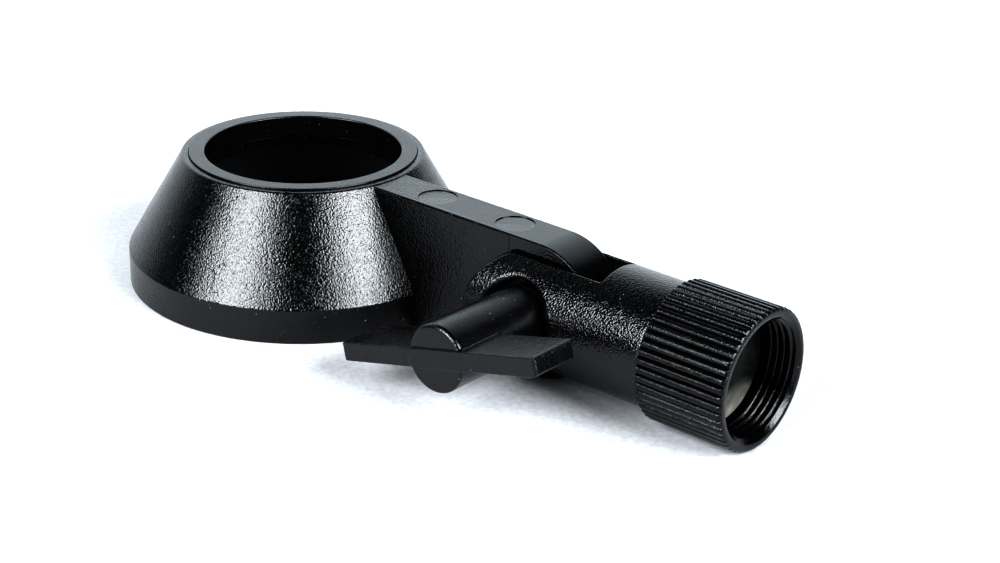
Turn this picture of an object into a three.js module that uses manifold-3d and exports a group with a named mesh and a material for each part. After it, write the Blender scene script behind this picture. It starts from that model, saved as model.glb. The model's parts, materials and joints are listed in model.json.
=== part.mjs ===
// Ring-cup swivel mount: a hollow cone cup on a flat arm, tilting in a forked stem that a
// T-handle screw clamps, with a ribbed threaded collar for a stand. Millimetres, +Z up.
// The origin is the centre of the footprint: the cup and the collar both rest on z = 0.
import * as THREE from 'three';
import { mergeVertices } from 'three/addons/utils/BufferGeometryUtils.js';
import Module from 'manifold-3d';

const wasm = await Module();
wasm.setup();

// Clearance between pieces that touch or run on each other.
const GAP = 0.3;
const ROUND_SEGMENTS = 96;
const SMALL_SEGMENTS = 48;

// How far a cutting body runs past the surface that it cuts.
const OVERCUT = 1;

// Cup: cone shell, open below, with a flange round the bore.
const CUP_BASE_RADIUS = 25;
const CUP_BAND_HEIGHT = 4.9;
const CUP_RIM_RADIUS = 17.1;
const CUP_RIM_HEIGHT = 18.7;
const CUP_WALL = 2.2;
const FLANGE_THICKNESS = 1.6;
const FLANGE_BORE_RADIUS = 14.3;

// Bore ring, pressed into the flange and standing slightly proud of the rim.
const RING_RADIUS = 15.9;
const RING_BORE_RADIUS = 13.9;
const RING_HEIGHT = 2.9;
const RING_PROUD = 0.25;

// Arm: an upright slab whose end is rounded about the pivot.
const PIVOT_HEIGHT = 9.28;
const ARM_LENGTH = 46;
const ARM_THICKNESS = 6.72;
const PIVOT_HOLE_RADIUS = 2.8;

// Yoke, measured from the pivot towards the collar.
const STEM_RADIUS = 8.35;
const CHEEK_END_RADIUS = 8.5;
const SLOT_WIDTH = 7.6;
const SLOT_END = 10.4;
const STEM_LENGTH = 19.8;
const SPIGOT_RADIUS = 5;
const SPIGOT_LENGTH = 5.4;
const WASHER_POCKET_RADIUS = 5.4;
const WASHER_POCKET_FLOOR = 5;
const NUT_POCKET_FLOOR = 5.2;
const NUT_ACROSS_FLATS = 8;
const NUT_HEIGHT = 2.7;
const NUT_CHAMFER = 0.4;

// T-handle and its M5 stud.
const HUB_RADIUS = 4.43;
const HANDLE_FRONT = 23;
const WING_LENGTH = 32.3;
const WING_THICKNESS = 2.5;
const WING_DEPTH = 7.4;
const WING_CORNER_RADIUS = 0.5;
const WING_ANGLE = THREE.MathUtils.degToRad(14.8);
const STUD_RADIUS = 2.4;
const STUD_FAR_END = 9;
const STUD_HEAD_COVER = 3.7;
const STUD_CHAMFER = 0.5;
const CLAMP_WASHER_RADIUS = 4.2;
const CLAMP_WASHER_THICKNESS = 0.6;

// Stand collar, for a 5/8"-27 stud. Its socket is plain, at the thread's mean radius.
const COLLAR_RADIUS = PIVOT_HEIGHT;
const COLLAR_LENGTH = 12.5;
const COLLAR_RIBS = 50;
const RIB_DEPTH = 0.42;
// One rib as [share of the pitch, share of the rib depth].
const RIB_PROFILE = [[-0.3, 1], [0, 1], [0.3, 1], [0.42, 0], [0.58, 0]];
const SOCKET_RADIUS = 7.6;
const MOUTH_RADIUS = 8.15;
const MOUTH_CHAMFER = 0.6;
const COLLAR_WASHER_RADIUS = 7;
const COLLAR_WASHER_THICKNESS = 2;

// Countersunk screw that holds the collar and its washer on the spigot.
const SCREW_SHANK_RADIUS = 1.4;
const SCREW_HEAD_RADIUS = 2.9;
const SCREW_RIM = 0.2;
const SCREW_TIP_LENGTH = 1.5;
const SCREW_REACH = 9;

// Places along the stem axis, from the pivot.
const COLLAR_START = STEM_LENGTH + GAP;
const COLLAR_END = COLLAR_START + COLLAR_LENGTH;
const SPIGOT_END = STEM_LENGTH + SPIGOT_LENGTH;
const COLLAR_WASHER_START = SPIGOT_END + GAP;
const SOCKET_FLOOR = COLLAR_WASHER_START + COLLAR_WASHER_THICKNESS;

// Places across the yoke, from the arm's centre plane, on the handle's side.
const CLAMP_WASHER_START = WASHER_POCKET_FLOOR + GAP;
const HUB_START = CLAMP_WASHER_START + CLAMP_WASHER_THICKNESS + GAP;
const NUT_START = NUT_POCKET_FLOOR + GAP;

// Places along the whole object.
const CUP_X = (CUP_BASE_RADIUS - ARM_LENGTH - COLLAR_END) / 2;
const PIVOT_X = CUP_X + ARM_LENGTH;

// ---------- geometry helpers ----------

function toManifold(geometry) {
  const bare = geometry.clone();
  bare.deleteAttribute('normal');
  bare.deleteAttribute('uv');
  const merged = mergeVertices(bare);
  const corners = merged.index.array;
  const triangles = [];
  for (let i = 0; i < corners.length; i += 3) {
    const [a, b, c] = corners.slice(i, i + 3);
    if (a !== b && b !== c && c !== a) triangles.push(a, b, c);
  }
  return new wasm.Manifold(new wasm.Mesh({
    numProp: 3,
    vertProperties: new Float32Array(merged.attributes.position.array),
    triVerts: new Uint32Array(triangles),
  }));
}

function toGeometry(manifold) {
  const mesh = manifold.getMesh();
  const geometry = new THREE.BufferGeometry();
  geometry.setAttribute('position', new THREE.BufferAttribute(mesh.vertProperties, 3));
  geometry.setIndex(new THREE.BufferAttribute(mesh.triVerts, 1));
  geometry.computeVertexNormals();
  return geometry;
}

// A body turned about +Z from [radius, height] points, listed anticlockwise.
function turned(profile, segments = ROUND_SEGMENTS) {
  const points = profile.map(([radius, height]) => new THREE.Vector2(radius, height));
  const geometry = new THREE.LatheGeometry(points, segments);
  geometry.rotateX(Math.PI / 2);
  return geometry;
}

function disc(radius, from, to, segments = ROUND_SEGMENTS) {
  return turned([[0, from], [radius, from], [radius, to], [0, to]], segments);
}

// Turns a body from +Z to +X (along the stem) or to -Y (towards the handle).
function alongStem(geometry) {
  return geometry.rotateY(Math.PI / 2);
}

function towardsHandle(geometry) {
  return geometry.rotateX(Math.PI / 2);
}

function block(x, y, z) {
  const size = new THREE.Vector3().fromArray([x, y, z].map(([low, high]) => high - low));
  const centre = [x, y, z].map(([low, high]) => (low + high) / 2);
  return new THREE.BoxGeometry(size.x, size.y, size.z).translate(...centre);
}

function hexagonPrism(acrossFlats, from, to) {
  return disc(acrossFlats / Math.sqrt(3), from, to, 6);
}

// ---------- materials ----------

function plastic(roughness) {
  return new THREE.MeshStandardMaterial({ color: 0x101113, roughness, metalness: 0 });
}

function steel() {
  return new THREE.MeshStandardMaterial({ color: 0xa8aaab, roughness: 0.35, metalness: 1 });
}

// ---------- sub-parts ----------

const WALL_ACROSS = CUP_WALL * Math.hypot(
  1, (CUP_BASE_RADIUS - CUP_RIM_RADIUS) / (CUP_RIM_HEIGHT - CUP_BAND_HEIGHT));

function coneRadius(height) {
  const rise = (height - CUP_BAND_HEIGHT) / (CUP_RIM_HEIGHT - CUP_BAND_HEIGHT);
  return THREE.MathUtils.lerp(CUP_BASE_RADIUS, CUP_RIM_RADIUS, rise);
}

const RING_TOP = CUP_RIM_HEIGHT + RING_PROUD;
const RING_SEAT = RING_TOP - RING_HEIGHT - GAP;
const FLANGE_UNDERSIDE = RING_SEAT - FLANGE_THICKNESS;

function cupShell() {
  const recess = RING_RADIUS + GAP;
  return turned([
    [CUP_BASE_RADIUS, 0],
    [CUP_BASE_RADIUS, CUP_BAND_HEIGHT],
    [CUP_RIM_RADIUS, CUP_RIM_HEIGHT],
    [recess, CUP_RIM_HEIGHT],
    [recess, RING_SEAT],
    [FLANGE_BORE_RADIUS, RING_SEAT],
    [FLANGE_BORE_RADIUS, FLANGE_UNDERSIDE],
    [coneRadius(FLANGE_UNDERSIDE) - WALL_ACROSS, FLANGE_UNDERSIDE],
    [coneRadius(CUP_BAND_HEIGHT) - WALL_ACROSS, CUP_BAND_HEIGHT],
    [coneRadius(CUP_BAND_HEIGHT) - WALL_ACROSS, 0],
    [CUP_BASE_RADIUS, 0],
  ]);
}

// Everything inside the cup's outer skin, which the arm is trimmed back from.
function cupInside() {
  const skin = WALL_ACROSS / 2;
  return turned([
    [0, -OVERCUT],
    [CUP_BASE_RADIUS - skin, -OVERCUT],
    [CUP_BASE_RADIUS - skin, CUP_BAND_HEIGHT],
    [RING_RADIUS + GAP, coneTopOfSkin(skin)],
    [RING_RADIUS + GAP, CUP_RIM_HEIGHT + OVERCUT],
    [0, CUP_RIM_HEIGHT + OVERCUT],
  ]);
}

function coneTopOfSkin(skin) {
  const slope = (CUP_BASE_RADIUS - CUP_RIM_RADIUS) / (CUP_RIM_HEIGHT - CUP_BAND_HEIGHT);
  return CUP_BAND_HEIGHT + (CUP_BASE_RADIUS - skin - RING_RADIUS - GAP) / slope;
}

function armSlab() {
  const outline = new THREE.Shape();
  outline.moveTo(CUP_RIM_RADIUS / 2, 0);
  outline.lineTo(ARM_LENGTH, 0);
  outline.absarc(ARM_LENGTH, PIVOT_HEIGHT, PIVOT_HEIGHT, -Math.PI / 2, Math.PI / 2, false);
  outline.lineTo(CUP_RIM_RADIUS / 2, 2 * PIVOT_HEIGHT);
  outline.closePath();
  const slab = new THREE.ExtrudeGeometry(outline, {
    depth: ARM_THICKNESS, bevelEnabled: false, curveSegments: SMALL_SEGMENTS,
  });
  return slab.rotateX(Math.PI / 2).translate(0, ARM_THICKNESS / 2, 0);
}

function cupAndArm() {
  const pivotHole = disc(PIVOT_HOLE_RADIUS, -ARM_THICKNESS, ARM_THICKNESS, SMALL_SEGMENTS);
  const placedHole = towardsHandle(pivotHole).translate(ARM_LENGTH, 0, PIVOT_HEIGHT);
  const arm = toManifold(armSlab())
    .subtract(toManifold(cupInside()))
    .subtract(toManifold(placedHole));
  return toGeometry(toManifold(cupShell()).add(arm));
}

function boreRing() {
  return turned([
    [RING_RADIUS, 0],
    [RING_RADIUS, RING_HEIGHT],
    [RING_BORE_RADIUS, RING_HEIGHT],
    [RING_BORE_RADIUS, 0],
    [RING_RADIUS, 0],
  ]);
}

function stemBar() {
  const reach = STEM_RADIUS + OVERCUT;
  const bar = alongStem(disc(STEM_RADIUS, -CHEEK_END_RADIUS, STEM_LENGTH));
  const spigot = alongStem(disc(SPIGOT_RADIUS, STEM_LENGTH - 1, SPIGOT_END, SMALL_SEGMENTS));
  const roundedEnd = towardsHandle(disc(CHEEK_END_RADIUS, -reach, reach));
  const beyondPivot = block([0, SPIGOT_END + OVERCUT], [-reach, reach], [-reach, reach]);
  const envelope = toManifold(roundedEnd).add(toManifold(beyondPivot));
  return toManifold(bar).add(toManifold(spigot)).intersect(envelope);
}

function yoke() {
  const reach = STEM_RADIUS + OVERCUT;
  const pilotRadius = SCREW_SHANK_RADIUS + GAP;
  const pilotEnd = SPIGOT_END + OVERCUT;
  const cuts = [
    block([-reach, SLOT_END], [-SLOT_WIDTH / 2, SLOT_WIDTH / 2], [-reach, reach]),
    towardsHandle(disc(WASHER_POCKET_RADIUS, WASHER_POCKET_FLOOR, reach, SMALL_SEGMENTS)),
    towardsHandle(disc(PIVOT_HOLE_RADIUS, -reach, reach, SMALL_SEGMENTS)),
    towardsHandle(hexagonPrism(NUT_ACROSS_FLATS + 2 * GAP, -reach, -NUT_POCKET_FLOOR)),
    alongStem(disc(pilotRadius, SPIGOT_END - SCREW_REACH, pilotEnd, SMALL_SEGMENTS)),
  ];
  const carved = cuts.reduce((solid, cut) => solid.subtract(toManifold(cut)), stemBar());
  return toGeometry(carved);
}

function trappedNut() {
  const corner = NUT_ACROSS_FLATS / Math.sqrt(3);
  const faceRadius = corner - NUT_CHAMFER;
  const envelope = turned([
    [0, 0], [faceRadius, 0], [corner, NUT_CHAMFER],
    [corner, NUT_HEIGHT - NUT_CHAMFER], [faceRadius, NUT_HEIGHT], [0, NUT_HEIGHT],
  ], SMALL_SEGMENTS);
  const hole = disc(STUD_RADIUS + GAP, -OVERCUT, NUT_HEIGHT + OVERCUT, SMALL_SEGMENTS);
  const nut = toManifold(hexagonPrism(NUT_ACROSS_FLATS, 0, NUT_HEIGHT))
    .intersect(toManifold(envelope))
    .subtract(toManifold(hole));
  return toGeometry(nut);
}

function clampWasher() {
  const hole = STUD_RADIUS + GAP;
  return towardsHandle(turned([
    [hole, 0],
    [CLAMP_WASHER_RADIUS, 0],
    [CLAMP_WASHER_RADIUS, CLAMP_WASHER_THICKNESS],
    [hole, CLAMP_WASHER_THICKNESS],
    [hole, 0],
  ], SMALL_SEGMENTS));
}

function wingOutline() {
  const half = WING_LENGTH / 2;
  const corner = WING_CORNER_RADIUS;
  const outline = new THREE.Shape();
  outline.moveTo(-half + corner, 0);
  outline.lineTo(half - corner, 0);
  outline.absarc(half - corner, corner, corner, -Math.PI / 2, 0, false);
  outline.lineTo(half, WING_DEPTH - corner);
  outline.absarc(half - corner, WING_DEPTH - corner, corner, 0, Math.PI / 2, false);
  outline.lineTo(-half + corner, WING_DEPTH);
  outline.absarc(-half + corner, WING_DEPTH - corner, corner, Math.PI / 2, Math.PI, false);
  outline.lineTo(-half, corner);
  outline.absarc(-half + corner, corner, corner, Math.PI, Math.PI * 1.5, false);
  return outline;
}

function wingHandle() {
  const hub = towardsHandle(disc(HUB_RADIUS, HUB_START, HANDLE_FRONT, SMALL_SEGMENTS));
  const wing = new THREE.ExtrudeGeometry(wingOutline(), {
    depth: WING_THICKNESS, bevelEnabled: false, curveSegments: 6,
  });
  wing.translate(0, -HANDLE_FRONT, -WING_THICKNESS / 2);
  const studHole = towardsHandle(disc(
    STUD_RADIUS + GAP, HUB_START - OVERCUT, HANDLE_FRONT - STUD_HEAD_COVER, SMALL_SEGMENTS));
  const handle = toManifold(hub).add(toManifold(wing)).subtract(toManifold(studHole));
  return toGeometry(handle);
}

function handleStud() {
  const headEnd = HANDLE_FRONT - STUD_HEAD_COVER - GAP;
  return towardsHandle(turned([
    [0, -STUD_FAR_END],
    [STUD_RADIUS - STUD_CHAMFER, -STUD_FAR_END],
    [STUD_RADIUS, -STUD_FAR_END + STUD_CHAMFER],
    [STUD_RADIUS, headEnd],
    [0, headEnd],
  ], SMALL_SEGMENTS));
}

// Outer profile of the collar: flat-topped straight ribs with sloping sides.
function ribbedOutline() {
  const pitch = 2 * Math.PI / COLLAR_RIBS;
  const points = [];
  for (let rib = 0; rib < COLLAR_RIBS; rib += 1) {
    for (const [share, rise] of RIB_PROFILE) {
      const angle = (rib + share) * pitch;
      const radius = COLLAR_RADIUS - RIB_DEPTH * (1 - rise);
      points.push(new THREE.Vector2(radius * Math.cos(angle), radius * Math.sin(angle)));
    }
  }
  return new THREE.Shape(points);
}

function standCollar() {
  const sleeve = new THREE.ExtrudeGeometry(ribbedOutline(), {
    depth: COLLAR_LENGTH, bevelEnabled: false,
  });
  const webThickness = SPIGOT_END - COLLAR_START;
  const socket = turned([
    [0, webThickness],
    [SOCKET_RADIUS, webThickness],
    [SOCKET_RADIUS, COLLAR_LENGTH - MOUTH_CHAMFER],
    [MOUTH_RADIUS, COLLAR_LENGTH],
    [MOUTH_RADIUS, COLLAR_LENGTH + OVERCUT],
    [0, COLLAR_LENGTH + OVERCUT],
  ]);
  const spigotHole = disc(SPIGOT_RADIUS + GAP, -OVERCUT, COLLAR_LENGTH, SMALL_SEGMENTS);
  const collar = toManifold(sleeve).subtract(toManifold(socket)).subtract(toManifold(spigotHole));
  return alongStem(toGeometry(collar));
}

// Washer and screw are drawn back from the socket floor, where both faces lie flush.
function collarWasher() {
  const back = -COLLAR_WASHER_THICKNESS;
  const hole = SCREW_SHANK_RADIUS + GAP;
  const countersink = SCREW_HEAD_RADIUS + GAP;
  return alongStem(turned([
    [hole, back],
    [COLLAR_WASHER_RADIUS, back],
    [COLLAR_WASHER_RADIUS, 0],
    [countersink, 0],
    [countersink, -SCREW_RIM],
    [hole, -SCREW_RIM - countersink + hole],
    [hole, back],
  ], SMALL_SEGMENTS));
}

function collarScrew() {
  const tip = SPIGOT_END - SCREW_REACH + OVERCUT - SOCKET_FLOOR;
  const neck = -SCREW_RIM - SCREW_HEAD_RADIUS + SCREW_SHANK_RADIUS;
  return alongStem(turned([
    [0, tip],
    [SCREW_SHANK_RADIUS, tip + SCREW_TIP_LENGTH],
    [SCREW_SHANK_RADIUS, neck],
    [SCREW_HEAD_RADIUS, -SCREW_RIM],
    [SCREW_HEAD_RADIUS, 0],
    [0, 0],
  ], SMALL_SEGMENTS));
}

// ---------- assembly ----------

function named(name, geometry, material) {
  const mesh = new THREE.Mesh(geometry, material);
  mesh.name = name;
  return mesh;
}

function at(object, x, y, z) {
  object.position.set(x, y, z);
  return object;
}

const cup = at(new THREE.Group(), CUP_X, 0, 0);
cup.add(named('cup_and_arm', cupAndArm(), plastic(0.42)));
cup.add(at(named('bore_ring', boreRing(), plastic(0.35)), 0, 0, RING_TOP - RING_HEIGHT));

const swivel = at(new THREE.Group(), PIVOT_X, 0, PIVOT_HEIGHT);
swivel.add(named('yoke', yoke(), plastic(0.5)));
const nut = named('trapped_nut', towardsHandle(trappedNut()), steel());
swivel.add(at(nut, 0, NUT_START + NUT_HEIGHT, 0));
swivel.add(at(named('clamp_washer', clampWasher(), plastic(0.6)), 0, -CLAMP_WASHER_START, 0));

const handle = new THREE.Group();
handle.rotation.y = -WING_ANGLE;
handle.add(named('wing_handle', wingHandle(), plastic(0.4)));
handle.add(named('handle_stud', handleStud(), steel()));
swivel.add(handle);

swivel.add(at(named('stand_collar', standCollar(), plastic(0.4)), COLLAR_START, 0, 0));
swivel.add(at(named('collar_washer', collarWasher(), steel()), SOCKET_FLOOR, 0, 0));
swivel.add(at(named('collar_screw', collarScrew(), steel()), SOCKET_FLOOR, 0, 0));

const bracket = new THREE.Group();
bracket.add(cup);
bracket.add(swivel);

export default bracket;
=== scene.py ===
"""Ring-cup swivel mount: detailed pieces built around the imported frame.

Sizes are in millimetres and are turned into metres where a mesh is made. Each piece is drawn about
its own origin and then placed by the frame: the cup about the centre of its footprint, and the
yoke, handle and collar about the tilt pivot, with the stem along +X and the handle along -Y.
"""
import itertools
import json
import math

import bpy
import numpy as np
from mathutils import Matrix, Vector


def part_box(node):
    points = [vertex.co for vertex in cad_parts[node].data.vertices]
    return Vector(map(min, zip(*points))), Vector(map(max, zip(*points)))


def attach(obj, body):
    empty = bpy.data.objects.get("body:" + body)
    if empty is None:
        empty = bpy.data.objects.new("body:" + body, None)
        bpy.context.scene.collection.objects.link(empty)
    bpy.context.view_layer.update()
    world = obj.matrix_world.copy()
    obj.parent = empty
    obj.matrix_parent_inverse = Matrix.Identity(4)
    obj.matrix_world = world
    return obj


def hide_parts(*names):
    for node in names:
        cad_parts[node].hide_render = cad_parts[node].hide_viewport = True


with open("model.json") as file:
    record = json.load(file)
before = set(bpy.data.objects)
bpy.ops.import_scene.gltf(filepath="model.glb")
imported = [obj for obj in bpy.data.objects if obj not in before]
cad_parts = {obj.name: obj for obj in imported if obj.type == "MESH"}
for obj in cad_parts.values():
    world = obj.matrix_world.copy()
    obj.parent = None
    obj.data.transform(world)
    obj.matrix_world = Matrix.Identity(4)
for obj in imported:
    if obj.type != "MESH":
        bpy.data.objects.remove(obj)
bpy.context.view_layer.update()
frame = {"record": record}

MM = 0.001
OVERCUT = 1


def box_mm(node):
    low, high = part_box(node)
    return Vector(low) / MM, Vector(high) / MM


def joint_mm(name):
    joints = frame["record"]["behaviour"]["joints"]
    return Vector(next(joint["pos_m"] for joint in joints if joint["name"] == name)) / MM


# ---------- places and sizes ----------

CUP_LOW, CUP_HIGH = box_mm("cup_and_arm")
BASE_RADIUS = CUP_HIGH.y
RIM_HEIGHT = CUP_HIGH.z
CUP_CENTRE = Vector((CUP_LOW.x + BASE_RADIUS, 0, 0))
PIVOT = joint_mm("tilt")
ARM_LENGTH = PIVOT.x - CUP_CENTRE.x

# Cup: cone shell with a flange that holds the ring.
CUP_SEGMENTS = 256
BAND_HEIGHT = 4.9
RIM_RADIUS = 17.1
WALL_ACROSS = 2.535
FLANGE_BORE_RADIUS = 14.3
FLANGE_TOP = 15.75
FLANGE_UNDERSIDE = 14.15
RECESS_RADIUS = 16.2

# Ring, with a hairline gap round it.
RING_LOW, RING_HIGH = box_mm("bore_ring")
RING_GAP = 0.07
RING_RADIUS = RECESS_RADIUS - RING_GAP
RING_BORE_RADIUS = 13.9
RING_POLISH = 0.3

# Arm, with two ejector pin marks on top and its rounded end a little thinner.
ARM_THICKNESS = 6.72
ARM_EDGE = 0.3
ARM_POLISH = 0.7
PIVOT_HOLE_RADIUS = 2.8
MARK_RADIUS = 2.69
MARK_PLACES = (25.7, 39.25)
MARK_DEPTH = 0.12
MARK_TILT = math.radians(2.2)
MARK_TURN = math.radians(40)
MARK_SEGMENTS = 64
RELIEF_START = 41
RELIEF_DEPTH = 0.05

# Yoke, from the pivot.
YOKE_LOW, YOKE_HIGH = box_mm("yoke")
STEM_RADIUS = YOKE_HIGH.y
CHEEK_END_RADIUS = PIVOT.x - YOKE_LOW.x
SPIGOT_END = YOKE_HIGH.x - PIVOT.x
STEM_LENGTH = 19.8
SPIGOT_RADIUS = 5
SLOT_WIDTH = 7.6
SLOT_END = 10.4
WASHER_POCKET_RADIUS = 5.0
WASHER_POCKET_FLOOR = 5.0
POCKET_RIM = 1.15
NUT_POCKET_FLOOR = 5.2
NUT_POCKET_FLATS = 8.6
PILOT_RADIUS = 1.7
PILOT_DEPTH = 9

# T-handle, measured outwards from the arm's centre plane.
HANDLE_LOW, HANDLE_HIGH = box_mm("wing_handle")
HANDLE_FRONT = -HANDLE_LOW.y
HUB_START = -HANDLE_HIGH.y
HUB_RADIUS = 4.43
WING_LENGTH = 32.3
WING_THICKNESS = 2.5
WING_DEPTH = 7.4
WING_CORNER = 0.5
WING_EDGE = 0.14
WING_END_EDGE = 0.6
WING_ANGLE = math.radians(14.8)
HUB_SET_BACK = 0.2
HUB_POLISH = 0.35
STUD_HOLE_RADIUS = 2.6
STUD_HOLE_END = 19.3

# Small steel pieces.
STUD_RADIUS = 2.4
STUD_PITCH = 0.8
STUD_THREAD_DEPTH = 0.25
STUD_THREAD_LENGTH = 6
STUD_SEGMENTS = 72
NUT_FLATS = 8
NUT_CHAMFER = math.radians(30)
NUT_SEGMENTS = 144
SCREW_SHANK_RADIUS = 1.4
SCREW_HEAD_DEPTH = 1.7
SCREW_RECESS_DEPTH = 1.3
SCREW_RECESS_REACH = 1.5
SCREW_HEAD_GAP = 0.02

# Painted shade darkening the upper part of the socket's floor: none from the edge distance below the
# stem's axis down, and full from the fade distance above that up.
SHADE_EDGE = 6
SHADE_FADE = 2.6

# Collar, from the pivot.
COLLAR_LOW, COLLAR_HIGH = box_mm("stand_collar")
COLLAR_START = COLLAR_LOW.x - PIVOT.x
COLLAR_END = COLLAR_HIGH.x - PIVOT.x
COLLAR_RADIUS = COLLAR_HIGH.y
COLLAR_RIBS = 50
RIB_DEPTH = 0.42
RIB_CROWN = 3
MOUTH_RADIUS = 8.15
THREAD_MAJOR = 7.94
THREAD_MINOR = 7.43
THREAD_PITCH = 25.4 / 27
THREAD_LENGTH = 4.6
THREAD_FADE = 0.25
THREAD_POLISH = 0.5
REAR_EDGE = 0.12
FRONT_EDGE = 0.62
RIB_SAMPLES = 16
INNER_SEGMENTS = COLLAR_RIBS * RIB_SAMPLES // 4

# Studio. The camera's place is fitted to the photograph's view.
CAMERA_AZIMUTH = math.radians(39.581)
CAMERA_ELEVATION = math.radians(23.75)
CAMERA_ROLL = math.radians(1.8366)
CAMERA_DISTANCE = 255.581
CAMERA_TARGET = Vector((10.171, 0, 9.603))
CAMERA_LENS = 69.324
SOFTBOX_DISTANCE = 900
SOFTBOX_COLOUR = (0.93, 0.97, 1)
BACKDROP_COLOUR = (0.87, 0.95, 1)
BACKDROP_STRENGTH = 1.35
ROOM_STRENGTH = 0.03
TABLE_HALF = 3000


# ---------- mesh helpers ----------

def rounded(corners, steps=5):
    """Closed outline from (x, y, corner radius) points, each corner turned into an arc."""
    outline = []
    count = len(corners)
    for i, (x, y, radius) in enumerate(corners):
        here = np.array((x, y), float)
        before = np.array(corners[i - 1][:2], float) - here
        after = np.array(corners[(i + 1) % count][:2], float) - here
        if radius == 0:
            outline.append(here)
            continue
        before /= np.linalg.norm(before)
        after /= np.linalg.norm(after)
        half = math.acos(np.clip(before @ after, -1, 1)) / 2
        reach = radius / math.tan(half)
        middle = before + after
        middle *= radius / math.sin(half) / np.linalg.norm(middle)
        first, last = before * reach - middle, after * reach - middle
        sweep = math.pi - 2 * half
        for k in range(steps + 1):
            t = k / steps
            a = math.sin((1 - t) * sweep) / math.sin(sweep)
            b = math.sin(t * sweep) / math.sin(sweep)
            outline.append(here + middle + a * first + b * last)
    return np.array(outline)


def turned_rows(radius, along, segments):
    """Rings of points about +Z, one row for each (radius, along) pair."""
    angle = np.linspace(0, 2 * math.pi, segments, endpoint=False)
    rows = len(along)
    radius, along = (np.broadcast_to(np.asarray(values, float).reshape(rows, -1), (rows, segments))
                     for values in (radius, along))
    return np.stack([radius * np.cos(angle), radius * np.sin(angle), along], axis=-1)


def strip_faces(rows, segments, closed, start=0):
    """Quads between neighbouring rings, and from the last back to the first if closed."""
    faces = []
    around = np.arange(segments)
    following = (around + 1) % segments
    for row in range(rows if closed else rows - 1):
        a = start + row * segments
        b = start + (row + 1) % rows * segments
        faces.append(np.stack([a + around, a + following, b + following, b + around], axis=-1))
    return np.concatenate(faces)


def turned(profile, segments):
    """Closed body turned about +Z from a closed outline of (radius, along) points."""
    profile = np.asarray(profile, float)
    rows = turned_rows(profile[:, 0], profile[:, 1], segments)
    return rows.reshape(-1, 3), strip_faces(len(profile), segments, True).tolist()


def solid_of_rows(rows):
    """Closed body from rings of points, its first and last ring filled."""
    count, segments = rows.shape[:2]
    faces = strip_faces(count, segments, False).tolist()
    faces.append(list(range(segments))[::-1])
    faces.append([(count - 1) * segments + i for i in range(segments)])
    return rows.reshape(-1, 3), faces


def rounded_and(a, b, radius):
    """Where both fields are inside, with the edge between them rounded."""
    outside = np.hypot(np.maximum(a + radius, 0), np.maximum(b + radius, 0))
    return np.minimum(-radius, np.maximum(a, b)) + outside


def rounded_or(a, b, radius):
    return -rounded_and(-a, -b, radius)


def rounded_cut(a, b, radius):
    return rounded_and(a, -b, radius)


def gradient(field, points, step=0.02):
    slopes = []
    for axis in range(3):
        shift = np.zeros(3)
        shift[axis] = step
        slopes.append(field(*(points + shift).T) - field(*(points - shift).T))
    return np.stack(slopes, axis=-1) / (2 * step)


def surface_net(field, low, high, cell):
    """Closed quad mesh of the surface where field(x, y, z) is 0; the inside is negative."""
    axes = [np.arange(a - 2 * cell, b + 2 * cell, cell) for a, b in zip(low, high)]
    values = field(*np.meshgrid(*axes, indexing="ij", sparse=True))
    inside = values < 0
    shape = np.array(inside.shape) - 1

    def corner(array, offset):
        return array[tuple(slice(o, o + n) for o, n in zip(offset, shape))]

    count = sum(corner(inside, offset).astype(int) for offset in itertools.product((0, 1), repeat=3))
    mixed = (count > 0) & (count < 8)
    cells = np.argwhere(mixed)
    number = np.full(mixed.shape, -1)
    number[mixed] = np.arange(len(cells))

    total = np.zeros((len(cells), 3))
    crossings = np.zeros(len(cells))
    for axis in range(3):
        for offset in itertools.product((0, 1), repeat=2):
            start = np.insert(np.array(offset), axis, 0)
            end = start.copy()
            end[axis] = 1
            a = values[tuple((cells + start).T)]
            b = values[tuple((cells + end).T)]
            cut = (a < 0) != (b < 0)
            share = np.where(cut, a / np.where(cut, a - b, 1), 0)
            crossing = start + share[:, None] * (end - start)
            total += np.where(cut[:, None], crossing, 0)
            crossings += cut
    origin = np.array([axis[0] for axis in axes])
    points = origin + cell * (cells + total / crossings[:, None])

    for _ in range(4):
        slope = gradient(field, points)
        size = np.maximum((slope ** 2).sum(axis=1), 0.25)
        move = -(field(*points.T) / size)[:, None] * slope
        points += np.clip(move, -cell / 2, cell / 2)

    faces = []
    for axis in range(3):
        b_axis, c_axis = (axis + 1) % 3, (axis + 2) % 3
        near = [slice(1, -1)] * 3
        near[axis] = slice(0, -1)
        far = list(near)
        far[axis] = slice(1, None)
        first, second = inside[tuple(near)], inside[tuple(far)]
        for rising, order in ((first & ~second, 1), (~first & second, -1)):
            found = np.argwhere(rising)
            found[:, b_axis] += 1
            found[:, c_axis] += 1
            ring = []
            for b_step, c_step in ((-1, -1), (0, -1), (0, 0), (-1, 0))[::order]:
                cell_at = found.copy()
                cell_at[:, b_axis] += b_step
                cell_at[:, c_axis] += c_step
                ring.append(number[tuple(cell_at.T)])
            faces.append(np.stack(ring, axis=-1))
    normals = gradient(field, points)
    normals /= np.linalg.norm(normals, axis=1)[:, None]
    return points, np.concatenate(faces).tolist(), normals


def make_mesh(name, points, faces, normals=None):
    mesh = bpy.data.meshes.new(name)
    mesh.from_pydata((np.asarray(points) * MM).tolist(), [], faces)
    mesh.polygons.foreach_set("use_smooth", [True] * len(mesh.polygons))
    mesh.update()
    if normals is not None:
        mesh.normals_split_custom_set_from_vertices(normals.tolist())
    return mesh


def add_object(name, mesh):
    piece = bpy.data.objects.new(name, mesh)
    bpy.context.scene.collection.objects.link(piece)
    return piece


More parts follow.
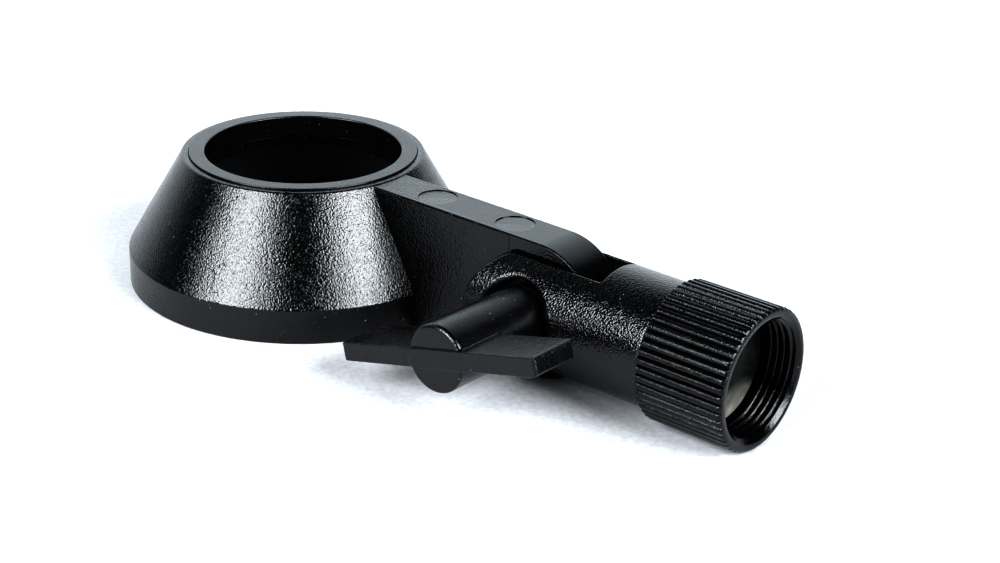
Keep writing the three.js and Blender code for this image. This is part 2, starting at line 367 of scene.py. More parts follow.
def weigh_normals(piece, sharp_angle=40):
    """Keeps broad flat faces flat beside small rounded edges."""
    piece.data.set_sharp_from_angle(angle=math.radians(sharp_angle))
    weighted = piece.modifiers.new("weighted normals", "WEIGHTED_NORMAL")
    weighted.keep_sharp = True


def joined(operation, first, second):
    """The exact union or difference of two meshes, as a new mesh."""
    base, other = add_object("boolean base", first), add_object("boolean tool", second)
    modifier = base.modifiers.new("boolean", "BOOLEAN")
    modifier.operation = operation
    modifier.solver = "EXACT"
    modifier.object = other
    bpy.context.view_layer.update()
    result = bpy.data.meshes.new_from_object(base.evaluated_get(bpy.context.evaluated_depsgraph_get()))
    for piece in (base, other):
        bpy.data.objects.remove(piece)
    return result


def points_of(mesh):
    """The mesh's points in millimetres, one row each."""
    flat = np.empty(3 * len(mesh.vertices))
    mesh.vertices.foreach_get("co", flat)
    return flat.reshape(-1, 3) / MM


def store(mesh, name, values):
    """Stores a 0 to 1 value at each point for a material: "polish" of the mould, or painted shade."""
    attribute = mesh.attributes.new(name, "FLOAT", "POINT")
    attribute.data.foreach_set("value", np.broadcast_to(values, len(mesh.vertices)).astype(float))


def place(piece, matrix, body, node, material):
    """Puts a piece drawn about its own origin where the frame has it."""
    piece.matrix_world = matrix
    piece.data.materials.clear()
    piece.data.materials.append(material)
    bpy.context.view_layer.update()
    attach(piece, body)
    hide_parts(node)
    return piece


def at(centre, turn=None):
    move = Matrix.Translation(Vector(centre) * MM)
    return move @ turn if turn else move


ALONG_STEM = Matrix.Rotation(math.pi / 2, 4, "Y")
TOWARDS_HANDLE = Matrix.Rotation(math.pi / 2, 4, "X")
HANDLE_TURN = Matrix.Rotation(-WING_ANGLE, 4, "Y")


# ---------- material helpers ----------

class Nodes:
    """Short calls for building one material's node tree."""

    def __init__(self, name):
        self.material = bpy.data.materials.new(name)
        self.material.use_nodes = True
        self.tree = self.material.node_tree
        self.shader = self.tree.nodes["Principled BSDF"]

    def add(self, kind, settings=None, **inputs):
        node = self.tree.nodes.new(kind)
        for key, value in (settings or {}).items():
            setattr(node, key, value)
        for key, value in inputs.items():
            self.feed(node.inputs[key.replace("_", " ")], value)
        return node

    def feed(self, socket, value):
        if isinstance(value, bpy.types.NodeSocket):
            self.tree.links.new(value, socket)
        else:
            socket.default_value = value

    def place_on_object(self):
        return self.add("ShaderNodeTexCoord").outputs["Object"]

    def noise(self, where, size, detail=2.0, roughness=0.5, distortion=0.0):
        """Noise whose features are about size millimetres across."""
        node = self.add("ShaderNodeTexNoise", Vector=where, Scale=1 / (size * MM), Detail=detail,
                        Roughness=roughness, Distortion=distortion)
        return node.outputs["Fac"]

    def remap(self, value, low, high, to_low, to_high):
        node = self.add("ShaderNodeMapRange", Value=value)
        for key, number in (("From Min", low), ("From Max", high)):
            node.inputs[key].default_value = number
        self.feed(node.inputs["To Min"], to_low)
        self.feed(node.inputs["To Max"], to_high)
        return node.outputs["Result"]

    def math(self, operation, *values):
        node = self.add("ShaderNodeMath", {"operation": operation})
        for socket, value in zip(node.inputs, values):
            self.feed(socket, value)
        return node.outputs["Value"]

    def blend(self, first, first_share, second, second_share):
        """The sum of two values, each times its own share."""
        return self.math("ADD", self.math("MULTIPLY", first, first_share),
                         self.math("MULTIPLY", second, second_share))

    def mix_colours(self, share, first, second):
        """Each colour is a socket or three numbers."""
        node = self.add("ShaderNodeMix", {"data_type": "RGBA"})
        colours = [socket for socket in node.inputs if socket.type == "RGBA"]
        self.feed(node.inputs[0], share)
        for socket, colour in zip(colours, (first, second)):
            self.feed(socket, colour if isinstance(colour, bpy.types.NodeSocket) else (*colour, 1))
        return next(socket for socket in node.outputs if socket.type == "RGBA")

    def bump(self, height, depth, below=None):
        """A bump whose height of 0 to 1 stands for depth millimetres."""
        node = self.add("ShaderNodeBump", Height=height, Distance=depth * MM)
        if below is not None:
            self.feed(node.inputs["Normal"], below)
        return node.outputs["Normal"]

    def attribute(self, name):
        return self.add("ShaderNodeAttribute", {"attribute_name": name}).outputs["Fac"]


def black_plastic(name, grain, grain_depth, roughness, scuffs=0.5, nicks=0.0, ior=1.5):
    """Moulded black plastic: spark-eroded grain, gentle waviness, scuffs, dust and thin nicks.

    grain is its size and grain_depth its depth in millimetres; scuffs and nicks run from 0 to 1.
    """
    colour, worn, dusty = (0.0016, 0.0016, 0.0018), (0.0048, 0.0048, 0.0054), (0.3, 0.3, 0.32)
    nodes = Nodes(name)
    where = nodes.place_on_object()
    polish = nodes.attribute("polish")
    fine = nodes.noise(where, grain, detail=1.0, roughness=0.5)
    coarse = nodes.noise(where, grain * 2.2, detail=1.0)
    texture = nodes.blend(fine, 0.85, coarse, 0.15)
    grained = nodes.math("MULTIPLY", texture, nodes.math("SUBTRACT", 1.0, polish))

    waves = nodes.noise(where, 6.0, detail=1.0)
    blotch = nodes.noise(where, 3.5, detail=4.0, roughness=0.65)
    speck = nodes.remap(nodes.noise(where, 0.8, detail=2.0), 0.72, 0.76, 0.0, scuffs)
    dust = nodes.remap(nodes.noise(where, 0.3, detail=0.0), 0.85, 0.89, 0.0, 0.5)
    plain = nodes.mix_colours(nodes.blend(blotch, 0.5, speck, 1.0), colour, worn)
    nodes.feed(nodes.shader.inputs["Base Color"], nodes.mix_colours(dust, plain, dusty))
    rough = nodes.remap(blotch, 0.25, 0.75, roughness * 0.85, roughness * 1.15)
    polished = nodes.math("SUBTRACT", 1.0, nodes.math("MULTIPLY", polish, 0.3))
    rough = nodes.math("MULTIPLY", rough, polished)
    nodes.feed(nodes.shader.inputs["Roughness"], nodes.blend(rough, 1.0, speck, 0.2))
    nodes.shader.inputs["IOR"].default_value = ior

    surface = nodes.bump(waves, 0.03)
    if nicks:
        wander = nodes.noise(where, 7.0, detail=2.0, roughness=0.6, distortion=0.8)
        from_line = nodes.math("ABSOLUTE", nodes.math("SUBTRACT", wander, 0.5))
        line = nodes.remap(from_line, 0.0, 0.006, nicks, 0.0)
        here = nodes.remap(nodes.noise(where, 4.0, detail=1.0), 0.6, 0.66, 0.0, 1.0)
        surface = nodes.bump(nodes.math("MULTIPLY", line, here), 0.04, surface)
    nodes.feed(nodes.shader.inputs["Normal"], nodes.bump(grained, grain_depth, surface))
    return nodes.material


def zinc_steel():
    """Bright zinc plate with turning lines about the piece's own axis, dull patches and painted shade
    where a piece stores it.
    """
    nodes = Nodes("zinc_steel")
    bright, dark = (0.7, 0.68, 0.6), (0.05, 0.055, 0.05)
    where = nodes.place_on_object()
    split = nodes.add("ShaderNodeSeparateXYZ", Vector=where)
    across = nodes.math("SQRT", nodes.math("ADD", nodes.math("POWER", split.outputs["X"], 2.0),
                                           nodes.math("POWER", split.outputs["Y"], 2.0)))
    polar = nodes.add("ShaderNodeCombineXYZ", X=across, Y=0.0, Z=split.outputs["Z"]).outputs["Vector"]
    lines = nodes.noise(polar, 0.09, detail=2.0)
    patches = nodes.noise(where, 1.8, detail=3.0, roughness=0.6)
    # Random dull patches, and painted shade where a piece stores it, darken the zinc.
    dull_and_painted_shade = nodes.math("MAXIMUM", nodes.attribute("painted_shade"), nodes.math("MULTIPLY", patches, 0.3))
    nodes.feed(nodes.shader.inputs["Base Color"], nodes.mix_colours(dull_and_painted_shade, bright, dark))
    nodes.shader.inputs["Metallic"].default_value = 1.0
    nodes.feed(nodes.shader.inputs["Roughness"], nodes.remap(patches, 0.3, 0.7, 0.4, 0.58))
    nodes.feed(nodes.shader.inputs["Normal"], nodes.bump(lines, 0.006, nodes.bump(patches, 0.01)))
    return nodes.material


def white_table():
    """Pale paper-like top with faint mottling."""
    nodes = Nodes("white_table")
    where = nodes.place_on_object()
    fibres = nodes.noise(where, 0.9, detail=4.0, roughness=0.7)
    nodes.feed(nodes.shader.inputs["Base Color"], nodes.mix_colours(
        nodes.remap(fibres, 0.3, 0.7, 0.0, 1.0), (0.47, 0.47, 0.49), (0.63, 0.63, 0.64)))
    nodes.feed(nodes.shader.inputs["Roughness"], nodes.remap(fibres, 0.3, 0.7, 0.55, 0.75))
    nodes.feed(nodes.shader.inputs["Normal"], nodes.bump(fibres, 0.05))
    return nodes.material


# ---------- cup and arm ----------

def cone_radius(height):
    return BASE_RADIUS + (RIM_RADIUS - BASE_RADIUS) * (height - BAND_HEIGHT) / (RIM_HEIGHT - BAND_HEIGHT)


def cup_shell():
    inner_top = cone_radius(FLANGE_UNDERSIDE) - WALL_ACROSS
    inner_foot = cone_radius(BAND_HEIGHT) - WALL_ACROSS
    profile = rounded([
        (BASE_RADIUS, 0, 0.3),
        (BASE_RADIUS, BAND_HEIGHT, 0.55),
        (RIM_RADIUS, RIM_HEIGHT, 0.35),
        (RECESS_RADIUS, RIM_HEIGHT, 0.05),
        (RECESS_RADIUS, FLANGE_TOP, 0.1),
        (FLANGE_BORE_RADIUS, FLANGE_TOP, 0.03),
        (FLANGE_BORE_RADIUS, FLANGE_UNDERSIDE, 0.04),
        (inner_top, FLANGE_UNDERSIDE, 0.4),
        (inner_foot, BAND_HEIGHT, 0.5),
        (inner_foot, 0, 0.3),
    ])
    return make_mesh("cup shell", *turned(profile, CUP_SEGMENTS))


def inside_of_cup():
    """Cutter for the arm's root: everything within the cup, out to partway through its wall."""
    foot, rim = BASE_RADIUS - WALL_ACROSS / 2, RIM_RADIUS - WALL_ACROSS / 4
    profile = [
        (foot, -OVERCUT), (foot, BAND_HEIGHT), (rim, RIM_HEIGHT - 0.5), (rim, RIM_HEIGHT + OVERCUT),
    ]
    radius, along = np.array(profile).T
    return make_mesh("inside of cup", *solid_of_rows(turned_rows(radius, along, CUP_SEGMENTS)))


def arm_outline(inset, segments=64):
    """Side view of the arm, drawn in from its edges by inset."""
    angle = np.linspace(-math.pi / 2, math.pi / 2, segments)
    radius = PIVOT.z - inset
    nose = np.stack([ARM_LENGTH + radius * np.cos(angle), PIVOT.z + radius * np.sin(angle)], axis=-1)
    root = RIM_RADIUS / 2
    return np.concatenate([[(root, inset)], nose, [(root, 2 * PIVOT.z - inset)]])


def arm_slab():
    half = ARM_THICKNESS / 2
    quarter = np.linspace(0, math.pi / 2, 6)
    insets = [(ARM_EDGE * (1 - math.sin(t)), half - ARM_EDGE * (1 - math.cos(t))) for t in quarter]
    rows = []
    for inset, across in insets + [(inset, -across) for inset, across in insets[::-1]]:
        outline = arm_outline(inset)
        rows.append(np.stack([outline[:, 0], np.full(len(outline), across), outline[:, 1]], axis=-1))
    return make_mesh("arm", *solid_of_rows(np.array(rows)))


def pin_mark(place_along):
    """Cutter for an ejector pin's round mark, its nearer half rising towards the edge."""
    count, half = MARK_SEGMENTS, MARK_SEGMENTS // 2
    angle = np.linspace(0, 2 * math.pi, count, endpoint=False)
    line = np.array((math.cos(MARK_TURN), math.sin(MARK_TURN)))
    nearer = np.array((line[1], -line[0]))
    circle = MARK_RADIUS * (np.cos(angle)[:, None] * line - np.sin(angle)[:, None] * nearer)
    top = 2 * PIVOT.z
    floor = top - MARK_DEPTH + math.tan(MARK_TILT) * np.maximum(circle @ nearer, 0)
    low = np.column_stack([circle + (place_along, 0), floor])
    high = np.column_stack([circle + (place_along, 0), np.full(count, top + OVERCUT)])
    faces = strip_faces(2, count, False).tolist()
    faces.append(list(range(count, 2 * count)))
    faces.append(list(range(half + 1))[::-1])
    faces.append([0] + list(range(half, count))[::-1])
    return make_mesh("pin mark", np.concatenate([low, high]), faces)


def arm_relief(side):
    """Cutter that thins the arm's rounded end a little on one side."""
    skin = ARM_THICKNESS / 2 - RELIEF_DEPTH
    depth = 2 * OVERCUT
    low = (RELIEF_START, skin if side > 0 else -skin - depth, -OVERCUT)
    high = (ARM_LENGTH + 2 * PIVOT.z, low[1] + depth, 3 * PIVOT.z)
    corners = [(x, y, z) for z in (low[2], high[2])
               for x, y in ((low[0], low[1]), (high[0], low[1]), (high[0], high[1]), (low[0], high[1]))]
    return make_mesh("arm relief", *solid_of_rows(np.array(corners).reshape(2, 4, 3)))


def pivot_hole():
    rows = turned_rows([PIVOT_HOLE_RADIUS] * 2, [-ARM_THICKNESS, ARM_THICKNESS], 64)
    mesh = make_mesh("pivot hole", *solid_of_rows(rows))
    mesh.transform(at((ARM_LENGTH, 0, PIVOT.z), TOWARDS_HANDLE))
    return mesh


def build_cup_and_arm():
    arm = joined("DIFFERENCE", arm_slab(), inside_of_cup())
    arm = joined("DIFFERENCE", arm, pivot_hole())
    for side in (-1, 1):
        arm = joined("DIFFERENCE", arm, arm_relief(side))
    for place_along in MARK_PLACES:
        arm = joined("DIFFERENCE", arm, pin_mark(place_along))
    mesh = joined("UNION", cup_shell(), arm)
    mesh.name = "cup_and_arm"
    mesh.polygons.foreach_set("use_smooth", [True] * len(mesh.polygons))
    store(mesh, "polish", np.where(points_of(mesh)[:, 0] > BASE_RADIUS, ARM_POLISH, 0))
    piece = add_object("cup_and_arm_skin", mesh)
    weigh_normals(piece)
    material = black_plastic("moulded_black", grain=0.25, grain_depth=0.08, roughness=0.16, nicks=1.0)
    return place(piece, at(CUP_CENTRE), "cup", "cup_and_arm", material)


# ---------- bore ring ----------

def build_bore_ring():
    height = RING_HIGH.z - RING_LOW.z
    profile = rounded([
        (RING_RADIUS, 0, 0.15), (RING_RADIUS, height, 0.12),
        (RING_BORE_RADIUS, height, 0.2), (RING_BORE_RADIUS, 0, 0.04),
    ])
    mesh = make_mesh("bore_ring", *turned(profile, CUP_SEGMENTS))
    store(mesh, "polish", RING_POLISH)
    piece = add_object("bore_ring_skin", mesh)
    weigh_normals(piece)
    material = black_plastic("ring_black", grain=0.2, grain_depth=0.04, roughness=0.3, scuffs=0.8)
    foot = Vector((CUP_CENTRE.x, 0, RING_LOW.z))
    return place(piece, at(foot), "cup", "bore_ring", material)


# ---------- yoke ----------

def yoke_field(x, y, z):
    across = np.hypot(y, z)
    about_pivot = np.hypot(x, z)
    bar = rounded_and(across - STEM_RADIUS, x - STEM_LENGTH, 0.35)
    end = np.hypot(np.minimum(x, 0), z) - CHEEK_END_RADIUS - np.maximum(x, 0) / 2
    body = rounded_and(bar, end, 0.4)
    spigot = rounded_and(across - SPIGOT_RADIUS, x - SPIGOT_END, 0.3)
    spigot = np.maximum(spigot, SLOT_END - x)
    body = rounded_or(body, spigot, 0.2)

    slot = rounded_and(np.abs(y) - SLOT_WIDTH / 2, x - SLOT_END, 0.5)
    body = rounded_cut(body, slot, 0.25)
    washer_pocket = rounded_and(about_pivot - WASHER_POCKET_RADIUS, y + WASHER_POCKET_FLOOR, 0.2)
    body = rounded_cut(body, washer_pocket, POCKET_RIM)
    flats = np.maximum(np.abs(x), np.abs(z) * math.cos(math.pi / 6) + np.abs(x) / 2)
    nut_pocket = rounded_and(flats - NUT_POCKET_FLATS / 2, NUT_POCKET_FLOOR - y, 0.15)
    body = rounded_cut(body, nut_pocket, 0.3)
    body = rounded_cut(body, about_pivot - PIVOT_HOLE_RADIUS, 0.2)
    pilot = rounded_and(across - PILOT_RADIUS, SPIGOT_END - PILOT_DEPTH - x, 0.2)
    return rounded_cut(body, pilot, 0.2)


def build_yoke():
    low = (-CHEEK_END_RADIUS, -STEM_RADIUS, -STEM_RADIUS)
    high = (SPIGOT_END, STEM_RADIUS, STEM_RADIUS)
    points, faces, normals = surface_net(yoke_field, low, high, cell=0.2)
    mesh = make_mesh("yoke", points, faces, normals)
    store(mesh, "polish", 0)
    piece = add_object("yoke_skin", mesh)
    material = black_plastic("grained_black", grain=0.25, grain_depth=0.09, roughness=0.11)
    return place(piece, at(PIVOT), "yoke", "yoke", material)


# ---------- T-handle ----------

def handle_field(x, y, z):
    outwards = -y
    around = np.hypot(x, z) - HUB_RADIUS
    upper = rounded_and(around, outwards - HANDLE_FRONT + HUB_SET_BACK, 0.6)
    lower = rounded_and(around, outwards - HANDLE_FRONT, 0.3)
    hub = rounded_and(np.where(z > 0, upper, lower), HUB_START - outwards, 0.3)

    wing_x = np.abs(x) - WING_LENGTH / 2 + WING_CORNER
    wing_y = np.abs(outwards - HANDLE_FRONT + WING_DEPTH / 2) - WING_DEPTH / 2 + WING_CORNER
    outline = np.hypot(np.maximum(wing_x, 0), np.maximum(wing_y, 0)) - WING_CORNER
    outline += np.minimum(np.maximum(wing_x, wing_y), 0)
    wing = rounded_and(outline, np.abs(z) - WING_THICKNESS / 2, WING_EDGE)
    ends = rounded_and(np.abs(x) - WING_LENGTH / 2, np.abs(z) - WING_THICKNESS / 2, WING_END_EDGE)
    wing = np.maximum(wing, ends)
    body = rounded_or(hub, wing, 0.25)
    stud_hole = rounded_and(np.hypot(x, z) - STUD_HOLE_RADIUS, outwards - STUD_HOLE_END, 0.2)
    return rounded_cut(body, stud_hole, 0.2)


def build_wing_handle():
    half = WING_LENGTH / 2
    low = (-half, -HANDLE_FRONT, -HUB_RADIUS)
    high = (half, -HUB_START, HUB_RADIUS)
    points, faces, normals = surface_net(handle_field, low, high, cell=0.13)
    mesh = make_mesh("wing_handle", points, faces, normals)
    store(mesh, "polish", np.clip(HUB_RADIUS + 1 - np.hypot(points[:, 0], points[:, 2]), 0, HUB_POLISH))
    piece = add_object("wing_handle_skin", mesh)
    material = black_plastic("handle_black", grain=0.2, grain_depth=0.065, roughness=0.27)
    return place(piece, at(PIVOT, HANDLE_TURN), "handle", "wing_handle", material)


# ---------- small steel pieces ----------

def thread_wave(share):
    """How deep a thread is at a share of a turn: 0 along its crest, 1 along its root."""
    climb = np.abs(2 * np.mod(share, 1) - 1)
    return np.clip((climb - 0.14) / 0.74, 0, 1)


def build_stud(material):
    low, high = box_mm("handle_stud")
    start, end = -high.y, -low.y
    point, head = 0.5, 0.3
    thread = np.arange(start + point, start + STUD_THREAD_LENGTH, STUD_PITCH / 12)[:, None]
    turn = np.linspace(0, 1, STUD_SEGMENTS, endpoint=False)
    fade = np.clip((thread[-1] - thread) * 2, 0, 1)
    depth = STUD_THREAD_DEPTH * thread_wave(thread / STUD_PITCH - turn) * fade
    along = np.concatenate([[start, start + point / 2], thread[:, 0], [end - head, end]])
    plain = np.ones((1, STUD_SEGMENTS))
    radius = np.concatenate([
        (STUD_RADIUS - point) * plain, (STUD_RADIUS - point / 2) * plain, STUD_RADIUS - depth,
        STUD_RADIUS * plain, (STUD_RADIUS - head) * plain,
    ])
    mesh = make_mesh("handle_stud", *solid_of_rows(turned_rows(radius, along, STUD_SEGMENTS)))
    piece = add_object("handle_stud_skin", mesh)
    weigh_normals(piece)
    matrix = at(PIVOT, HANDLE_TURN @ TOWARDS_HANDLE)
    return place(piece, matrix, "handle", "handle_stud", material)


def build_nut(material):
    low, high = box_mm("trapped_nut")
    height = high.y - low.y
    bevel = 0.3
    angle = np.linspace(0, 2 * math.pi, NUT_SEGMENTS, endpoint=False)
    hexagon = NUT_FLATS / 2 / np.cos(np.mod(angle, math.pi / 3) - math.pi / 6)
    inner, face = STUD_RADIUS + 0.1, NUT_FLATS / 2 - 0.15
    rise = np.linspace(0, 0.55, 8)
    low_cone = face + rise / math.tan(NUT_CHAMFER)
    along = np.concatenate([[bevel, 0], rise, height - rise[::-1], [height, height - bevel]])
    cone = np.concatenate([[inner, inner + bevel], low_cone, low_cone[::-1], [inner + bevel, inner]])
    rows = turned_rows(np.minimum(cone[:, None], hexagon), along, NUT_SEGMENTS)
    faces = strip_faces(len(along), NUT_SEGMENTS, True).tolist()
    mesh = make_mesh("trapped_nut", rows.reshape(-1, 3), faces)
    piece = add_object("trapped_nut_skin", mesh)
    weigh_normals(piece, sharp_angle=25)
    matrix = at((PIVOT.x, high.y, PIVOT.z), TOWARDS_HANDLE)
    return place(piece, matrix, "yoke", "trapped_nut", material)


def build_clamp_washer():
    low, high = box_mm("clamp_washer")
    radius, thickness = (high.x - low.x) / 2, high.y - low.y
    hole = STUD_RADIUS + 0.15
    profile = rounded([
        (radius, 0, 0.25), (radius, thickness, 0.15), (hole, thickness, 0.15), (hole, 0, 0.15),
    ])
    mesh = make_mesh("clamp_washer", *turned(profile, segments=160))
    store(mesh, "polish", 0)
    piece = add_object("clamp_washer_skin", mesh)
    weigh_normals(piece)
    material = black_plastic("washer_black", grain=0.15, grain_depth=0.03, roughness=0.5, ior=1.25)
    matrix = at((PIVOT.x, high.y, PIVOT.z), TOWARDS_HANDLE)
    return place(piece, matrix, "clamp_washer", "clamp_washer", material)


def socket_floor_shade(points):
    """Painted shade darkening the socket floor's upper part; a piece along the stem has its top at -X.
    """
    return np.clip((SHADE_EDGE - points[:, 0]) / SHADE_FADE, 0, 1)


def build_collar_washer(material):
    low, high = box_mm("collar_washer")
    radius, thickness = high.y, high.x - low.x
    head = box_mm("collar_screw")[1].y + SCREW_HEAD_GAP
    seat = thickness - 0.2
    hole = PILOT_RADIUS
    profile = rounded([
        (radius, 0, 0.2), (radius, thickness, 0.1), (head, thickness, 0.02),
        (head, seat, 0.05), (hole, seat - head + hole, 0.05), (hole, 0, 0.1),
    ])
    mesh = make_mesh("collar_washer", *turned(profile, segments=192))
    # Painted shade darkening the washer's upper part, inside the socket.
    store(mesh, "painted_shade", socket_floor_shade(points_of(mesh)))
    piece = add_object("collar_washer_skin", mesh)
    weigh_normals(piece, sharp_angle=30)
    matrix = at((low.x, 0, PIVOT.z), ALONG_STEM)
    return place(piece, matrix, "yoke", "collar_washer", material)


def build_collar_screw(material):
    low, high = box_mm("collar_screw")
    length, head = high.x - low.x, high.y

    def field(x, y, z):
        """Countersunk screw with a tapered cross recess, its head's face at z = 0."""
        across = np.hypot(x, y)
        cone = (across - SCREW_SHANK_RADIUS - (z + SCREW_HEAD_DEPTH)) / math.sqrt(2)
        top = rounded_and(rounded_and(across - head, cone, 0.05), z, 0.03)
        rod = rounded_and(across - SCREW_SHANK_RADIUS, -length + 0.9 * across - z, 0.1)
        body = rounded_or(top, rounded_and(rod, z + 0.5, 0.1), 0.1)
        half_width, reach = 0.38 + 0.12 * z, SCREW_RECESS_REACH + 0.5 * z
        slots = np.minimum(np.maximum(np.abs(x) - half_width, np.abs(y) - reach),
                           np.maximum(np.abs(y) - half_width, np.abs(x) - reach))
        recess = rounded_and(slots, -SCREW_RECESS_DEPTH - z, 0.1)
        return rounded_cut(body, recess, 0.05)

    points, faces, normals = surface_net(field, (-head, -head, -length), (head, head, 0), cell=0.09)
    mesh = make_mesh("collar_screw", points, faces, normals)
    # Painted shade darkening the screw head's upper part, inside the socket.
    store(mesh, "painted_shade", socket_floor_shade(points))
    piece = add_object("collar_screw_skin", mesh)
    matrix = at((high.x, 0, PIVOT.z), ALONG_STEM)
    return place(piece, matrix, "yoke", "collar_screw", material)


# ---------- stand collar ----------

def rib_rise():
    """Share of the rib depth at each point round the collar: crowned tops, narrow grooves."""
    share = np.arange(COLLAR_RIBS * RIB_SAMPLES) / RIB_SAMPLES
    from_top = 2 * np.abs(np.mod(share + 0.5, 1) - 0.5)
    return 1 - from_top ** RIB_CROWN


def collar_outside():
    """Rows from the rear face's edge to the front face's edge."""
    length = COLLAR_END - COLLAR_START
    rise = rib_rise()
    quarter = np.linspace(0, math.pi / 2, 7)
    rear = [(REAR_EDGE * (1 - math.cos(t)), REAR_EDGE * (1 - math.sin(t))) for t in quarter]
    middle = [(length * share, 0) for share in np.linspace(0.1, 0.9, 9)]
    front = [(length - FRONT_EDGE * (1 - math.sin(t)), FRONT_EDGE * (1 - math.cos(t))) for t in quarter]
    along, drop = np.array(rear + middle + front).T
    ribbed = COLLAR_RADIUS - RIB_DEPTH * (1 - rise)
    radius = np.minimum(ribbed, COLLAR_RADIUS - drop[:, None])
    return turned_rows(radius, along, len(rise))


def collar_inside():
    """Rows from the mouth back through the thread and the socket to the rear hole."""
    length = COLLAR_END - COLLAR_START
    web = SPIGOT_END - COLLAR_START
    turn = np.linspace(0, 1, INNER_SEGMENTS, endpoint=False)
    depth = np.linspace(0, THREAD_LENGTH, 130)[:, None]
    fade = np.clip((THREAD_LENGTH - depth) / THREAD_FADE, 0, 1)
    crest = 1 - thread_wave(depth / THREAD_PITCH + turn)
    thread = THREAD_MAJOR - (THREAD_MAJOR - THREAD_MINOR) * fade * crest
    chamfer = MOUTH_RADIUS - 1.25 * depth
    threaded = np.maximum(thread, chamfer)
    hole = SPIGOT_RADIUS + 0.15
    rest = rounded([
        (THREAD_MAJOR, THREAD_LENGTH, 0), (THREAD_MAJOR, length - web, 0.4),
        (hole, length - web, 0.15), (hole, length, 0.2), (hole + 1, length, 0),
    ])[1:-1]
    radius = np.concatenate([threaded, np.broadcast_to(rest[:, :1], (len(rest), INNER_SEGMENTS))])
    along = length - np.concatenate([depth[:, 0], rest[:, 1]])
    return turned_rows(radius, along, INNER_SEGMENTS)


def face_between(outer, inner, ratio, outwards):
    """Flat many-sided faces between an outer ring of points and a coarser inner one."""
    faces = []
    count = len(inner)
    for i in range(count):
        edge = [outer[(ratio * i + k) % len(outer)] for k in range(ratio + 1)]
        face = edge + [inner[(i + 1) % count], inner[i]]
        faces.append(face if outwards else face[::-1])
    return faces


def build_stand_collar():
    outside, inside = collar_outside(), collar_inside()
    outer_count, inner_count = outside.shape[1], inside.shape[1]
    outer_size, inner_size = outside.shape[0] * outer_count, inside.shape[0] * inner_count
    points = np.concatenate([outside.reshape(-1, 3), inside.reshape(-1, 3)])
    faces = strip_faces(outside.shape[0], outer_count, False).tolist()
    faces += strip_faces(inside.shape[0], inner_count, False, outer_size).tolist()
    front_edge = list(range(outer_size - outer_count, outer_size))
    mouth = list(range(outer_size, outer_size + inner_count))
    rear_edge = list(range(outer_count))
    rear_hole = list(range(outer_size + inner_size - inner_count, outer_size + inner_size))
    ratio = outer_count // inner_count
    faces += face_between(front_edge, mouth, ratio, True)
    faces += face_between(rear_edge, rear_hole, ratio, False)
    mesh = make_mesh("stand_collar", points, faces)
    store(mesh, "polish", np.concatenate([np.zeros(outer_size), np.full(inner_size, THREAD_POLISH)]))
    piece = add_object("stand_collar_skin", mesh)
    weigh_normals(piece, sharp_angle=55)
    material = black_plastic("collar_black", grain=0.2, grain_depth=0.065, roughness=0.18, ior=1.4)
    matrix = at((COLLAR_LOW.x, 0, PIVOT.z), ALONG_STEM)
    return place(piece, matrix, "collar", "stand_collar", material)


# ---------- studio ----------

def look_matrix(target, distance, azimuth, elevation, roll=0.0):
    """Placement that looks at target from a distance in millimetres, with -Z forwards.

    Azimuth 0 looks along +Y from the -Y side, and azimuth 90 looks along -X.
    """
    back = Vector((math.sin(azimuth) * math.cos(elevation),
                   -math.cos(azimuth) * math.cos(elevation), math.sin(elevation)))
    right = Vector((math.cos(azimuth), math.sin(azimuth), 0))
    up = back.cross(right)
    turned_right = math.cos(roll) * right + math.sin(roll) * up
    turned_up = math.cos(roll) * up - math.sin(roll) * right
    matrix = Matrix((turned_right, turned_up, back)).transposed().to_4x4()
    matrix.translation = (target + distance * back) * MM
    return matrix


def add_camera():
    data = bpy.data.cameras.new("camera")
    data.lens = CAMERA_LENS
    data.sensor_width = 36
    data.clip_start = 0.01
    camera = bpy.data.objects.new("camera", data)
    bpy.context.scene.collection.objects.link(camera)
    camera.matrix_world = look_matrix(
        CAMERA_TARGET, CAMERA_DISTANCE, CAMERA_AZIMUTH, CAMERA_ELEVATION, CAMERA_ROLL)
    bpy.context.scene.camera = camera


def add_softbox(name, azimuth, elevation, wide, tall, radiance):
    """Rectangular soft light seen from the object over wide by tall degrees."""
    data = bpy.data.lights.new(name, "AREA")
    data.shape = "RECTANGLE"
    data.size = 2 * SOFTBOX_DISTANCE * MM * math.tan(math.radians(wide) / 2)
    data.size_y = 2 * SOFTBOX_DISTANCE * MM * math.tan(math.radians(tall) / 2)
    data.energy = radiance * math.pi * data.size * data.size_y
    data.color = SOFTBOX_COLOUR
    light = bpy.data.objects.new(name, data)
    bpy.context.scene.collection.objects.link(light)
    light.matrix_world = look_matrix(
        Vector(), SOFTBOX_DISTANCE, math.radians(azimuth), math.radians(elevation))


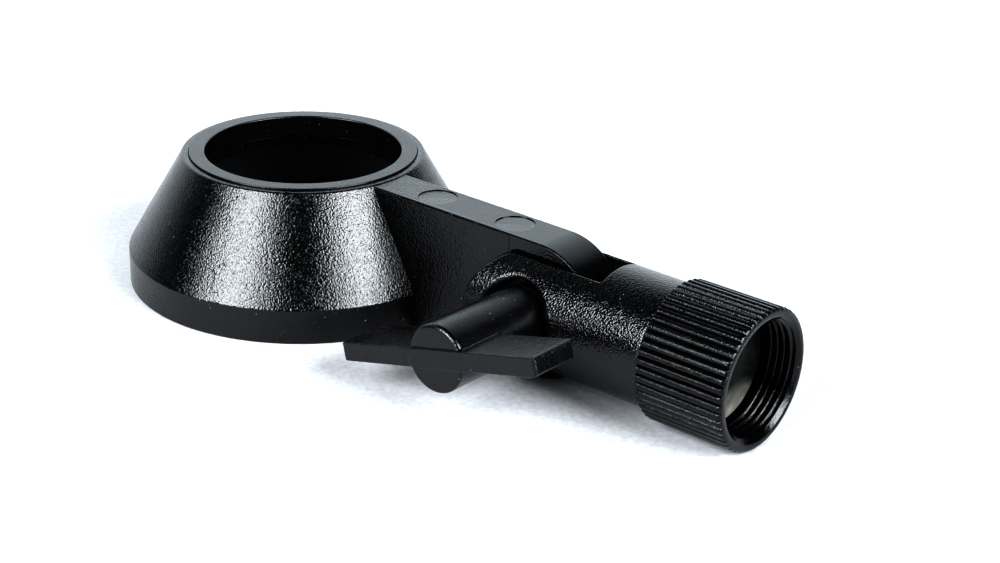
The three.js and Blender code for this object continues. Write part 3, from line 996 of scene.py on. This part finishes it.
def add_world():
    """Backdrop behind the object, fading to a dark room above, in front and to the right.

    Where the camera sees it directly its strength is at least 1.
    """
    world = bpy.data.worlds.new("studio")
    world.use_nodes = True
    bpy.context.scene.world = world
    tree = world.node_tree
    background = tree.nodes["Background"]
    direction = tree.nodes.new("ShaderNodeTexCoord")
    split = tree.nodes.new("ShaderNodeSeparateXYZ")
    tree.links.new(direction.outputs["Generated"], split.inputs[0])

    def ramp(value, low, high, first, last):
        node = tree.nodes.new("ShaderNodeMapRange")
        node.interpolation_type = "SMOOTHSTEP"
        for key, number in zip(("From Min", "From Max", "To Min", "To Max"), (low, high, first, last)):
            node.inputs[key].default_value = number
        tree.links.new(value, node.inputs["Value"])
        return node.outputs["Result"]

    def combine(operation, first, second):
        node = tree.nodes.new("ShaderNodeMath")
        node.operation = operation
        for socket, value in zip(node.inputs, (first, second)):
            if isinstance(value, bpy.types.NodeSocket):
                tree.links.new(value, socket)
            else:
                socket.default_value = value
        return node.outputs[0]

    low_down = ramp(split.outputs["Z"], 0.6, 0.84, 1.0, 0.0)
    behind = ramp(split.outputs["Y"], -0.6, 0.2, 0.0, 1.0)
    leftward = ramp(split.outputs["X"], -0.1, 0.3, 1.0, 0.0)
    backdrop = combine("MULTIPLY", combine("MULTIPLY", low_down, behind), leftward)
    lit = combine("ADD", combine("MULTIPLY", backdrop, BACKDROP_STRENGTH), ROOM_STRENGTH)
    rays = tree.nodes.new("ShaderNodeLightPath")
    seen = combine("MAXIMUM", lit, rays.outputs["Is Camera Ray"])
    tree.links.new(seen, background.inputs["Strength"])
    background.inputs["Color"].default_value = (*BACKDROP_COLOUR, 1)


def add_table():
    corners = [(x * TABLE_HALF, y * TABLE_HALF, 0) for x, y in ((-1, -1), (1, -1), (1, 1), (-1, 1))]
    mesh = make_mesh("table", corners, [(0, 1, 2, 3)])
    mesh.materials.append(white_table())
    add_object("table", mesh)


def build_all():
    build_cup_and_arm()
    build_bore_ring()
    build_yoke()
    build_wing_handle()
    build_stand_collar()
    build_clamp_washer()
    steel = zinc_steel()
    for build in (build_stud, build_nut, build_collar_washer, build_collar_screw):
        build(steel)


add_camera()
build_all()
add_table()
add_softbox("front softbox", azimuth=-7, elevation=31, wide=34, tall=30, radiance=14.5)
add_softbox("side softbox", azimuth=92, elevation=31, wide=36, tall=30, radiance=15.5)
add_world()
bpy.context.scene.view_settings.view_transform = "Standard"
bpy.context.scene.view_settings.look = "Very High Contrast"
